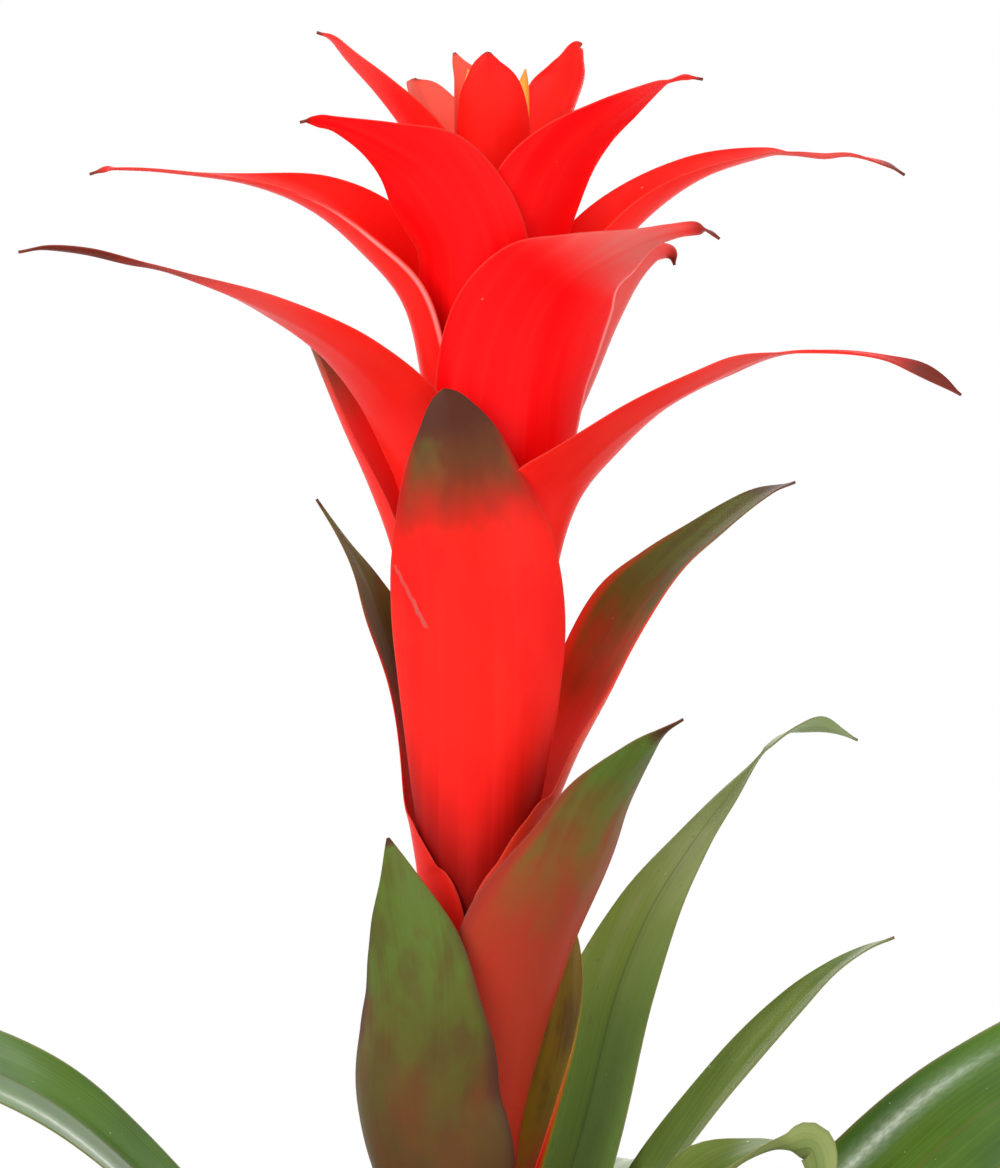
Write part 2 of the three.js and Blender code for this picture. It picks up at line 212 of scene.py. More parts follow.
def stem_skin():
    """Green above, pale below, brown and ringed with scars near the cut. Its places and heights are
    in metres."""
    skin, shader, tone = start_skin("stem_skin", {"Specular IOR Level": 0.35})
    place = tone.node("TexCoord", {}, {}, "Object")
    height = place.parts()[2]
    fibres = place.noise((900, 900, 40), 3)
    spots = place.noise((60, 60, 60), 3)
    pale = tone.over(PALE_FIBRE, LIGHT_FIBRE, fibres.rise(0.35, 0.65))
    green = tone.over(pale, STALK_GREEN, height.rise(0.03, 0.12) * 0.7)
    old = tone.over(green, OLD_BROWN, spots.rise(0.5, 0.7) * height.rise(0.06, 0.01))
    turns = height * (1 / (SCAR_GAP * MM))
    rings = turns.sum("FRACT", turns)
    scars = rings.band(0.0, 0.12, 0.08) * height.rise(0.09, 0.07) * height.rise(0.001, 0.003)
    scarred = tone.over(old, SCAR_BROWN, scars * 0.7)
    cut = tone.over(scarred, CUT_CREAM, height.rise(0.0006, 0.0002))
    rough = 0.55 + spots * 0.2
    feed(tone, shader, {"Base Color": cut, "Roughness": rough}, fibres - scars, 0.0003)
    return skin


def stem_outline():
    """Height and radius from the cut to the rounded head."""
    foot = STEM[0][1]
    top, head = STEM[-1]
    heights = np.arange(CUT_EDGE_TOP, top, STEM_STEP)
    radii = np.interp(heights, *zip(*STEM))
    scarred = radii - SCAR_DEPTH * (heights % SCAR_GAP < STEM_STEP) * (heights < SCARS_TOP)
    cut_edge = [(height, foot - inset) for height, inset in CUT_EDGE]
    turns = np.linspace(0, HEAD_TURN, HEAD_RINGS)
    dome = [(top + head * math.sin(turn), head * math.cos(turn)) for turn in turns]
    return [*cut_edge, *zip(heights, scarred), *dome]


stem_points, stem_faces = turned(stem_outline(), STEM_SIDES)
finish_piece("stalk", stem_points, stem_faces, stem_skin(), "stem")

# The leaves are straps of thin leathery green tissue, channelled along the midrib. Their broad
# feet clasp the stock and each other, and they rise, arch over and hang to a point.
MIDRIB_THICKNESS = 0.75
RIM_THICKNESS = 0.35
RIM_CROWDING = 0.8  # of a strap's columns, from 0 where they are even to 1
FEWEST_ROWS = 24
STATION_VALUES = 6
STRAP_PATTERN_GAP = 17.3  # from one strap's pattern to the next one's
FACE_PATTERN_GAP = 5.1  # from the outer face's pattern to the inner one's
LEAF_COLUMNS = 24
LEAF_ROW = 2.6
LEAF_WAVES = (0.8, 13, 1.4)  # height, length for each radian, radians from midrib to margin
LEAF_SWELL = (0.5, 31)  # height as a share of the waves', length for each radian
LEAF_CALM = 60  # from either end, where the waves fade out
LEAF_PHASE = 1.9  # radians from one leaf's waves to the next one's
LEAF_KEEL = (0.55, 1.5, 8)  # height, half width, and half of the leaf's width where it is full
LIGHT_BAND = colour(120, 148, 70)
UNDER_BAND = colour(124, 142, 80)
LIGHT_VEIN = colour(170, 184, 122)
DARK_VEIN = colour(72, 94, 36)
UNDER_MIDRIB = colour(82, 102, 44)
LEAF_RIM = colour(126, 112, 62)
LEAF_FOOT = colour(150, 156, 104)
LEAF_TIP = colour(118, 92, 62)
BLEMISH = colour(104, 92, 48)
# The colour of the painted highlight on the glossy leaves.
LEAF_HIGHLIGHT = colour(206, 220, 200)
PALE_SPECK = colour(206, 214, 170)


def smooth_path(points, count):
    """count places on the smooth curve through points."""
    points = np.asarray(points, float)
    padded = np.vstack([2 * points[0] - points[1], points, 2 * points[-1] - points[-2]])
    places = np.linspace(0, len(points) - 1, count)
    first = np.minimum(places.astype(int), len(points) - 2)
    t = (places - first)[:, None]
    before, start, end, after = (padded[first + step] for step in range(4))
    bend = 2 * before - 5 * start + 4 * end - after
    twist = 3 * (start - end) + after - before
    return start + 0.5 * t * (end - before + t * (bend + t * twist))


def unit(vectors):
    return vectors / np.linalg.norm(vectors, axis=-1, keepdims=True)


def strap(turn, stations, columns, row, lift, number):
    """Points, faces and marks of a strap whose stations run from foot to tip, each one
    (height, out, side, half width, cup, roll): the midrib's place in the upright plane that faces
    turn degrees to the right of the viewer, and how far it strays beside that plane; half of the
    strap's width; the radius its section curls to, or 0 to curl round the stem; and how far it
    rolls about its midrib, in degrees. lift gives how far its surface stands off that section, and
    number sets its pattern and its waves apart from those of the other straps.

    The mark place is the share of the half width, the distance from the tip, and 0 outside to 1
    inside. The mark laid is the strap laid flat: across, from the tip, and its own pattern. The
    mark foot is the distance from the foot."""
    facing = math.radians(turn)
    outward = np.array([math.sin(facing), -math.cos(facing), 0])
    sideways = np.array([math.cos(facing), math.sin(facing), 0])
    full = np.array([(*station, *[0] * (STATION_VALUES - len(station))) for station in stations], float)
    full[:, 4] = np.where(full[:, 4] == 0, full[:, 1], full[:, 4])
    spine = full[:, :1] * (0, 0, 1) + full[:, 1:2] * outward + full[:, 2:3] * sideways
    length = np.linalg.norm(np.diff(spine, axis=0), axis=1).sum()
    rows = max(FEWEST_ROWS, int(length / row))
    midrib = smooth_path(spine, rows)
    half, cup, roll = smooth_path(full[:, 3:], rows).T[:, :, None]
    along = unit(np.gradient(midrib, axis=0))
    flat = unit(sideways - along * (along @ sideways)[:, None])
    outer = np.cross(flat, along)
    roll = np.radians(roll)
    across = flat * np.cos(roll) - outer * np.sin(roll)
    outer = outer * np.cos(roll) + flat * np.sin(roll)
    steps = np.linalg.norm(np.diff(midrib, axis=0), axis=1)
    arc = np.concatenate([[0], np.cumsum(steps)])[:, None]

    # Each row of points goes once round the slab: the outer face, a rim, the inner face, a rim.
    shares = np.sin(np.linspace(-math.pi / 2, math.pi / 2, columns + 1) * RIM_CROWDING)
    shares = shares / shares[-1]
    rim = 1 + RIM_THICKNESS / 2 / np.maximum(half, RIM_THICKNESS)
    ones = np.ones_like(arc)
    loop = np.hstack([ones * shares, rim, ones * shares[::-1], -rim])
    level = np.hstack([shares * 0 + 0.5, 0, shares * 0 - 0.5, 0])
    inside = np.hstack([shares * 0, 0.5, shares * 0 + 1, 0.5])
    thinning = (RIM_THICKNESS - MIDRIB_THICKNESS) * np.minimum(loop**2, 1)
    radius = cup + (MIDRIB_THICKNESS + thinning) * level
    raised = lift(loop, arc, arc[-1] - arc, half, number)
    curl = loop * half / cup
    points = (midrib[:, None] + across[:, None] * (radius * np.sin(curl))[..., None]
              + outer[:, None] * (radius * np.cos(curl) - cup + raised)[..., None])
    around = points.shape[1]

    faces = []
    for step in range(rows - 1):
        for k in range(around):
            a, b = step * around + k, step * around + (k + 1) % around
            faces.append((a, b, b + around, a + around))
    # The foot and the tip are closed from the outer face to the inner one, and at both rims.
    for start, flip in ((0, True), ((rows - 1) * around, False)):
        for k in range(columns):
            cap = [start + k, start + k + 1, start + 2 * columns + 1 - k, start + 2 * columns + 2 - k]
            faces.append(tuple(reversed(cap)) if flip else tuple(cap))
        for near, far, edge in ((columns, columns + 2, columns + 1), (2 * columns + 2, 0, around - 1)):
            cap = [start + near, start + edge, start + far]
            faces.append(tuple(reversed(cap)) if flip else tuple(cap))
    from_tip = (arc[-1] - arc) * np.ones_like(loop)
    pattern = np.full_like(loop, number * STRAP_PATTERN_GAP) + FACE_PATTERN_GAP * inside
    place = np.dstack([loop, from_tip, ones * inside])
    laid = np.dstack([loop * half, from_tip, pattern])
    foot = np.dstack([arc * np.ones_like(loop)] * 3)
    return points.reshape(-1, 3), faces, {"place": place, "laid": laid, "foot": foot}


def waved_margins(share, arc, phase, size, waves):
    """Waves along a strap that grow from its midrib to its margins."""
    height, length, shift = waves
    return height * size * share**2 * np.sin(arc / length + phase + shift * share)


def keel(share, half, ridge):
    """The midrib, a ridge outside and a channel inside."""
    height, width, full = ridge
    return height * np.exp(-((share * half / width) ** 2)) * np.minimum(1, half / full)


def leaf_lift(share, arc, from_tip, half, number):
    """A leaf's channelled midrib, its gently waved margins and a slow swell of one margin against
    the other."""
    phase = number * LEAF_PHASE
    size = np.minimum(1, from_tip / LEAF_CALM) * np.minimum(1, arc / LEAF_CALM)
    swell_share, swell_length = LEAF_SWELL
    swell = swell_share * LEAF_WAVES[0] * size * np.sin(arc / swell_length + 2 * phase) * share
    margins = waved_margins(share, arc, phase, size, LEAF_WAVES)
    return margins + swell + keel(share, half, LEAF_KEEL)


def leaf_skin(name, upper, deep, under, midrib, gloss, lower=None, painted_highlight=None):
    """upper and deep are the two greens of the upper face, under is that of the lower one. midrib
    is its colour on the upper face, and lower the one that face turns to away from the tip. The
    painted highlight is where the upper face is painted pale for light its wax reflects: from and
    to, as shares of the half width and in millimetres from the tip."""
    skin, shader, tone = start_skin(name, {
        "Specular IOR Level": 0.22, "Subsurface Weight": 0.08, "Subsurface Scale": 0.001,
        "Subsurface Radius": (0.6, 1.0, 0.2), "Coat Roughness": 0.2, "Coat Weight": gloss})
    across, from_tip, inside = tone.attribute("place").parts()
    side = abs(across)
    laid = tone.attribute("laid")
    veins = laid.noise((1.7, 0.006, 1), 2)
    bands = laid.noise((0.3, 0.01, 1), 2)
    clouds = laid.noise((0.06, 0.025, 1), 3)

    top = tone.over(upper, deep, clouds.rise(0.35, 0.65) * 0.8)
    if lower:
        top = tone.over(top, lower, (from_tip + 60 * (bands - 0.5)).rise(50, 130) * 0.85)
    top = tone.over(top, LIGHT_BAND, bands.rise(0.5, 0.75) * 0.14)
    low = tone.over(under, UNDER_BAND, bands.rise(0.42, 0.66) * 0.6)
    low = tone.over(low, STALK_GREEN, clouds.rise(0.4, 0.65) * 0.5)
    face = tone.over(low, top, inside)
    face = tone.over(face, LIGHT_VEIN, veins.rise(0.5, 0.75) * 0.08)
    face = tone.over(face, DARK_VEIN, veins.rise(0.48, 0.28) * 0.1)
    face = tone.over(face, midrib, side.rise(0.05, 0.0) * inside * 0.6)
    face = tone.over(face, UNDER_MIDRIB, side.rise(0.035, 0.0) * (1 - inside) * 0.7)
    face = tone.over(face, LEAF_RIM, side.rise(0.95, 1.0) * 0.5)
    face = tone.over(face, LEAF_FOOT, from_tip.rise(190, 250) * 0.6)
    face = tone.over(face, LEAF_TIP, (from_tip + 3 * clouds).rise(4.5, 1.0))
    blemishes = laid.noise((0.5, 0.3, 1), 1).rise(0.7, 0.78)
    face = tone.over(face, BLEMISH, blemishes * 0.3)
    # Painted highlight: a pale streak along the glossy leaf's upper face, for light reflected off its
    # wax.
    if painted_highlight:
        near, far, first, last = painted_highlight
        grain = laid.noise((1.3, 0.5, 1), 2).rise(0.25, 0.75)
        highlight_share = 0.4 * across.band(near - 0.08, far + 0.08, 0.14) + 0.7 * across.band(near, far, 0.07)
        highlight_share = highlight_share * from_tip.band(first, last, 26) * inside
        face = tone.over(face, LEAF_HIGHLIGHT, highlight_share * (0.55 + 0.5 * grain))
    specks = laid.noise((1.1, 0.9, 1), 0).rise(0.87, 0.9)
    face = tone.over(face, PALE_SPECK, specks * 0.8)
    rough = 0.34 + 0.14 * bands + 0.16 * (1 - inside)
    feed(tone, shader, {"Base Color": face, "Roughness": rough}, veins + bands, 0.00005)
    return skin


green_leaf = leaf_skin(
    "green_leaf", upper=colour(108, 128, 58), deep=colour(78, 102, 32), under=colour(152, 162, 98),
    midrib=colour(128, 146, 82), gloss=0.1)
pale_leaf = leaf_skin(
    "pale_leaf", upper=colour(148, 168, 110), deep=colour(118, 142, 72), under=colour(168, 180, 130),
    midrib=colour(82, 104, 44), gloss=0.05, lower=colour(106, 144, 38))
glossy_leaf = leaf_skin(
    "glossy_leaf", upper=colour(74, 114, 22), deep=colour(50, 88, 14), under=colour(140, 158, 100),
    midrib=colour(96, 104, 48), gloss=0.3, painted_highlight=(0.62, 0.7, 150, 215))

# The leaves that rise into view, from the highest to the lowest: turn, skin and stations.
UPPER_LEAVES = [
    # tall, behind at the right, twisted over below its tip
    (135, pale_leaf,
        [(84, 12.4, 0, 13), (110, 18, 0, 17, 22), (140, 28, 0, 19, 30), (170, 38.8, -0.6, 18.8, 36),
        (199, 48.6, -0.4, 15, 40, 4), (220, 61, 0, 9.6, 36, 8), (235.2, 75.4, 0.4, 5.6, 28, 14),
        (247, 88.2, 0.2, 3.2, 20, 24), (256.9, 99.4, 0, 0.8, 14, 20), (259.8, 103.4, 0, 1.7, 12),
        (263.1, 110.6, 0, 2.5, 14, -20), (264.4, 120, 0, 3.2, 16, -40), (262.6, 129.1, 0, 1.6, 10, -20),
        (260.4, 136.2, 0, 0.25, 6)]),
    # slender, at the right
    (98, green_leaf,
        [(70, 12.6, 0, 12), (95, 17, 0, 14, 18), (125, 28, 0, 15, 22), (150, 42, 0, 14, 22, 3),
        (170, 55.6, 0, 12, 22, 12), (186, 68, 0, 10.3, 20, 18), (198.5, 79, 0, 7.4, 16, 18),
        (206.6, 87.6, 0, 4.8, 12, 10), (211.8, 95.4, 0, 2.2, 10, 6), (214.6, 102.6, 0, 0.25, 8)]),
    # narrow, at the left edge of the view
    (-90, glossy_leaf, [(61, 13.2, 0, 10, 14), (87, 24, 0, 13, 24), (115, 42, 0, 14.5, 38, -10),
        (142, 64, 0, 15, 50, -20), (164, 85, 0, 15, 56, -24), (179.6, 107, 0, 15, 56, -24),
        (190, 136, 0, 14.5, 52, -22), (191, 172, 0, 12.5, 42, -14), (174, 212, 0, 9, 28, -6),
        (142, 244, 0, 0.6, 10)]),
    # wide and glossy, at the right edge of the view
    (108, glossy_leaf, [(46, 13.2, 0, 10, 14), (70, 27, 0, 16, 26), (99, 50, 0, 19, 38, 12),
        (123, 76, 0, 20.5, 52, 24), (146, 103, 0, 21, 58, 32), (171, 134, 0, 20.5, 56, 34),
        (187, 168, 0, 18.5, 50, 30), (188, 204, 0, 14.5, 38, 22), (169, 238, 0, 8.5, 26, 10),
        (138, 262, 0, 0.6, 10)]),
    # short, at the right, bending down over its tip
    (62, green_leaf, [(64, 13.2, 0, 10, 14), (84, 19, 0, 14, 22), (108, 28, 0, 16.5, 30),
        (131, 39, 0, 17, 34, 8), (147, 50.5, 0, 16, 34, 26), (158, 61.6, 0, 13.6, 32, 44),
        (165.2, 72.3, 0, 9.8, 34, 24), (168.4, 80, 0, 6, 34, 6), (168.6, 86, 0, 5.2, 30, -36),
        (168.6, 91, 0, 6.4, 28, -66), (161, 93.2, 0, 4.6, 20, -66), (152.5, 95.4, 0, 3.2, 14, -40),
        (140, 100, 0, 0.6, 8)]),
]

# The other leaves, from the highest to the lowest: turn, foot height, height of the arch, reach,
# height of the tip and half width.
ARCHED_LEAVES = [
    (162, 60, 150, 215, 70, 15), (12, 54, 150, 190, 80, 17),
    (-128, 51, 140, 235, 60, 18), (-43, 45, 140, 225, 60, 19), (178, 42, 130, 240, 45, 19),
    (40, 39, 126, 235, 40, 19), (-98, 36, 118, 256, 25, 20), (126, 33, 112, 245, 20, 20),
    (-12, 30, 112, 244, 15, 19), (-150, 27, 102, 250, 1, 20), (76, 24, 98, 258, 1, 20),
    (-64, 21, 92, 255, 1, 20), (160, 18, 84, 248, 1, 19), (22, 15, 80, 250, 1, 19),
    (-116, 12, 72, 240, 1, 19), (100, 9, 66, 256, 1, 18), (-30, 7, 60, 240, 1, 18),
]
CLASP = (13.2, 0, 10, 14)  # out, side, half width and cup of a leaf's foot
NECK_OUT = 13
POINT = (0, 0.6, 10)  # side, half width and cup of its tip


def arch_stations(foot, top, reach, tip, half):
    """A leaf that rises from its foot, arches over at top and hangs to its tip, reach from the
    stem."""
    rise = top - foot
    drop = top - tip
    return [
        (foot, *CLASP),
        (foot + 0.22 * rise, CLASP[0] + 0.05 * reach, 0, half * 0.85, 24),
        (foot + 0.55 * rise, NECK_OUT + 0.15 * reach, 0, half * 0.95, 38),
        (foot + 0.83 * rise, 0.34 * reach, 0, half, 52),
        (foot + 0.97 * rise, 0.5 * reach, 0, half, 58),
        (foot + rise, 0.64 * reach, 0, half * 0.95, 54),
        (top - 0.16 * drop, 0.79 * reach, 0, half * 0.8, 42),
        (top - 0.55 * drop, 0.92 * reach, 0, half * 0.45, 26),
        (tip, reach, *POINT),
    ]


leaves = [(turn, green_leaf, arch_stations(*sizes)) for turn, *sizes in reversed(ARCHED_LEAVES)]
leaves += reversed(UPPER_LEAVES)
for number, (turn, skin, stations) in enumerate(leaves, 1):
    node = f"leaf_{number:02d}"
    points, faces, marks = strap(turn, stations, LEAF_COLUMNS, LEAF_ROW, leaf_lift, number)
    finish_piece(node + "_blade", points, faces, skin, node, marks)

# The bracts are leaves turned to the flower's colour: waxy, red and smooth. Each sheath clasps the
# stem and the blade flares outwards, brown, purple or green towards its tip.
BRACT_COLUMNS = 22
BRACT_ROW = 1.9
BRACT_WAVES = (0.5, 9, 1)
BRACT_CALM = 40  # from the tip, and again from the sheath's top, where the waves fade out
BRACT_SHEATH = 30
BRACT_PHASE = 2.3
BRACT_KEEL = (0.25, 1.6, 6)
RED = colour(250, 32, 22)
CRIMSON = colour(248, 6, 13)
DEEP_RED = colour(240, 8, 12)
FOOT_SHADE_RED = colour(150, 8, 12)
SHEATH_SHADOW_RED = colour(104, 12, 12)
DUSKY_RED = colour(136, 26, 14)
WARM_RED = colour(252, 66, 42)
BROWN_RED = colour(184, 56, 36)
SALMON = colour(246, 104, 84)
SHEEN_PINK = colour(222, 108, 102)
HIGHLIGHT_PINK = colour(255, 176, 172)
SPECK_PINK = colour(255, 150, 120)
SCAR_PINK = colour(186, 92, 86)
OLIVE = colour(102, 74, 36)
DULL_OLIVE = colour(104, 92, 46)
YELLOW_OLIVE = colour(150, 150, 14)
OLIVE_BROWN = colour(98, 72, 42)
OLIVE_STREAK = colour(84, 66, 34)
TIP_BROWN = colour(100, 54, 28)
SPOT_BROWN = colour(88, 58, 34)
RIM_HIGHLIGHT_TAN = colour(150, 84, 66)
LEAF_GREEN = colour(90, 112, 42)
PURPLE = colour(80, 40, 30)
RIM_PURPLE = colour(84, 44, 40)
RED_MOTTLE = 0.5
OTHER_MOTTLE = 0.1


def bract_lift(share, arc, from_tip, half, number):
    """A bract's shallow midrib and the waved margins of its blade."""
    blade = np.clip((arc - BRACT_SHEATH) / BRACT_CALM, 0, 1)
    size = np.minimum(1, from_tip / BRACT_CALM) * blade
    margins = waved_margins(share, arc, number * BRACT_PHASE, size, BRACT_WAVES)
    return margins + keel(share, half, BRACT_KEEL)


def bract_skin(name, dark=0.5, olive=0, fade=0.9, green=0.5, keep_red=1.0, base=RED, tip=OLIVE,
               dusky=False, painted_sheen=None, gleam=None, inner=None, scar=None, rims=0, sheath=None):
    """The last dark millimetres are purple brown. For olive millimetres more the bract is of the
    colour tip, and fades to base over fade. green is how much of tip is leaf green, and dusky says
    that the red darkens before it. The margins beyond keep_red of the half width stay red. The
    painted sheen band is where the outer face is painted pink for light reflected off it, from and
    to millimetres from the tip, and how much. gleam is a painted highlight along the left (-1) or
    right (1) margin, from and to. inner is the inner face's colour. A scar runs between two places,
    across and from the tip. rims is how purple the margins are, and sheath is from where to where
    above the foot a painted shadow darkens it. Every bract is also darkened by painted shade near
    its foot."""
    skin, shader, tone = start_skin(name, {
        "Specular IOR Level": 0.1, "Subsurface Weight": 0.15, "Subsurface Scale": 0.001,
        "Subsurface Radius": (1.0, 0.25, 0.12), "Sheen Weight": 0.05, "Sheen Roughness": 0.4,
        "Sheen Tint": (1, 0.6, 0.58, 1)})
    across, from_tip, inside = tone.attribute("place").parts()
    side = abs(across)
    from_foot = tone.attribute("foot").parts()[0]
    laid = tone.attribute("laid")
    clouds = laid.noise((0.07, 0.035, 1), 3)
    spots = laid.noise((0.13, 0.07, 1), 3)
    streaks = laid.noise((0.5, 0.01, 1), 2)
    fine = laid.noise((1.4, 0.02, 1), 2)

    mottle = RED_MOTTLE if base in (RED, CRIMSON) else OTHER_MOTTLE
    face = tone.over(base, DEEP_RED, clouds.rise(0.4, 0.7) * mottle)
    face = tone.over(face, WARM_RED, streaks.rise(0.45, 0.8) * 0.24 * mottle)
    # Painted shade: the red darkens towards each bract's foot, where the bracts around it overlap.
    face = tone.over(face, FOOT_SHADE_RED, from_foot.rise(60, 20) * mottle * 0.6)
    # Painted shadow: the sheath darkens towards its foot and its margins, where the bracts in front of
    # it cast shade.
    if sheath:
        reach = from_foot - 22 * side + 10 * (streaks - 0.5)
        face = tone.over(face, SHEATH_SHADOW_RED, reach.rise(*sheath) * 0.85)
    if inner:
        face = tone.over(face, inner, inside * 0.8)
    # Painted sheen: a pinkish band on the outer face, over the given stretch from the tip, for light
    # reflected off the white room.
    if painted_sheen:
        first, last, share = painted_sheen
        lit = from_tip.band(first, last, 12) * (1 - inside) * (0.55 + 0.9 * (streaks - 0.3))
        face = tone.over(face, SHEEN_PINK, lit * share)
    if olive:
        length = olive + dark
        reach = from_tip + (clouds - 0.5) * length * 0.4 + (spots - 0.5) * fade * 0.7
        if dusky:
            dusk = reach.rise(length + fade, length - 0.2 * fade)
            face = tone.over(face, DUSKY_RED, dusk * 0.7)
        patch = reach.rise(length + 0.7 * fade, length - 0.7 * fade)
        if keep_red < 1:
            red_margin = side.rise(keep_red - 0.12, keep_red + 0.08)
            patch = patch * (1 - red_margin * from_tip.rise(0.3 * length, length))
        greener = (0.5 * clouds + 0.5 * spots).rise(0.62 - 0.4 * green, 0.82 - 0.4 * green)
        patched = tone.over(tip, LEAF_GREEN, greener * green * patch)
        patched = tone.over(patched, SPOT_BROWN, (spots + 0.4 * streaks).rise(0.62, 0.9) * 0.45)
        face = tone.over(face, patched, patch)
        face = tone.over(face, OLIVE_STREAK, fine.rise(0.5, 0.8) * patch * 0.2)
    end = dark * 1.4 if olive else dark + fade
    darkness = (from_tip + (clouds + spots - 1) * dark).rise(end, dark * 0.4)
    face = tone.over(face, PURPLE, darkness * (0.9 if dark > 1 else 0.6))
    # Painted highlight: a thin pale tan line along every margin, for light caught by the rounded rim.
    face = tone.over(face, RIM_HIGHLIGHT_TAN, side.rise(0.98, 1.0) * 0.3)
    if rims:
        purple = (side + 0.3 * (clouds - 0.5)).rise(0.82, 1.02) * from_tip.rise(6, 40)
        face = tone.over(face, RIM_PURPLE, purple * rims)
    # Painted highlight: a pale pink streak along one margin.
    if gleam:
        margin, first, last = gleam
        painted_highlight = (across * margin).band(0.93, 0.985, 0.025) * from_tip.band(first, last, 14)
        face = tone.over(face, HIGHLIGHT_PINK, painted_highlight * (0.25 + fine) * 0.9)
    specks = laid.noise((0.9, 0.7, 1), 0).rise(0.88, 0.91) * from_tip.rise(30, 60)
    face = tone.over(face, SPECK_PINK, specks * 0.5)
    if scar:
        x, first, last_x, last = scar
        off = laid.parts()[0] - (x + (last_x - x) / (last - first) * (from_tip - first))
        line = (abs(off) + 2 * (fine - 0.5)).rise(0.8, 0.3) * from_tip.band(first, last, 0.6)
        face = tone.over(face, SCAR_PINK, line * (1.4 * spots))
    rough = 0.4 + 0.12 * streaks
    feed(tone, shader, {"Base Color": face, "Roughness": rough}, fine + streaks, 0.00004)
    return skin


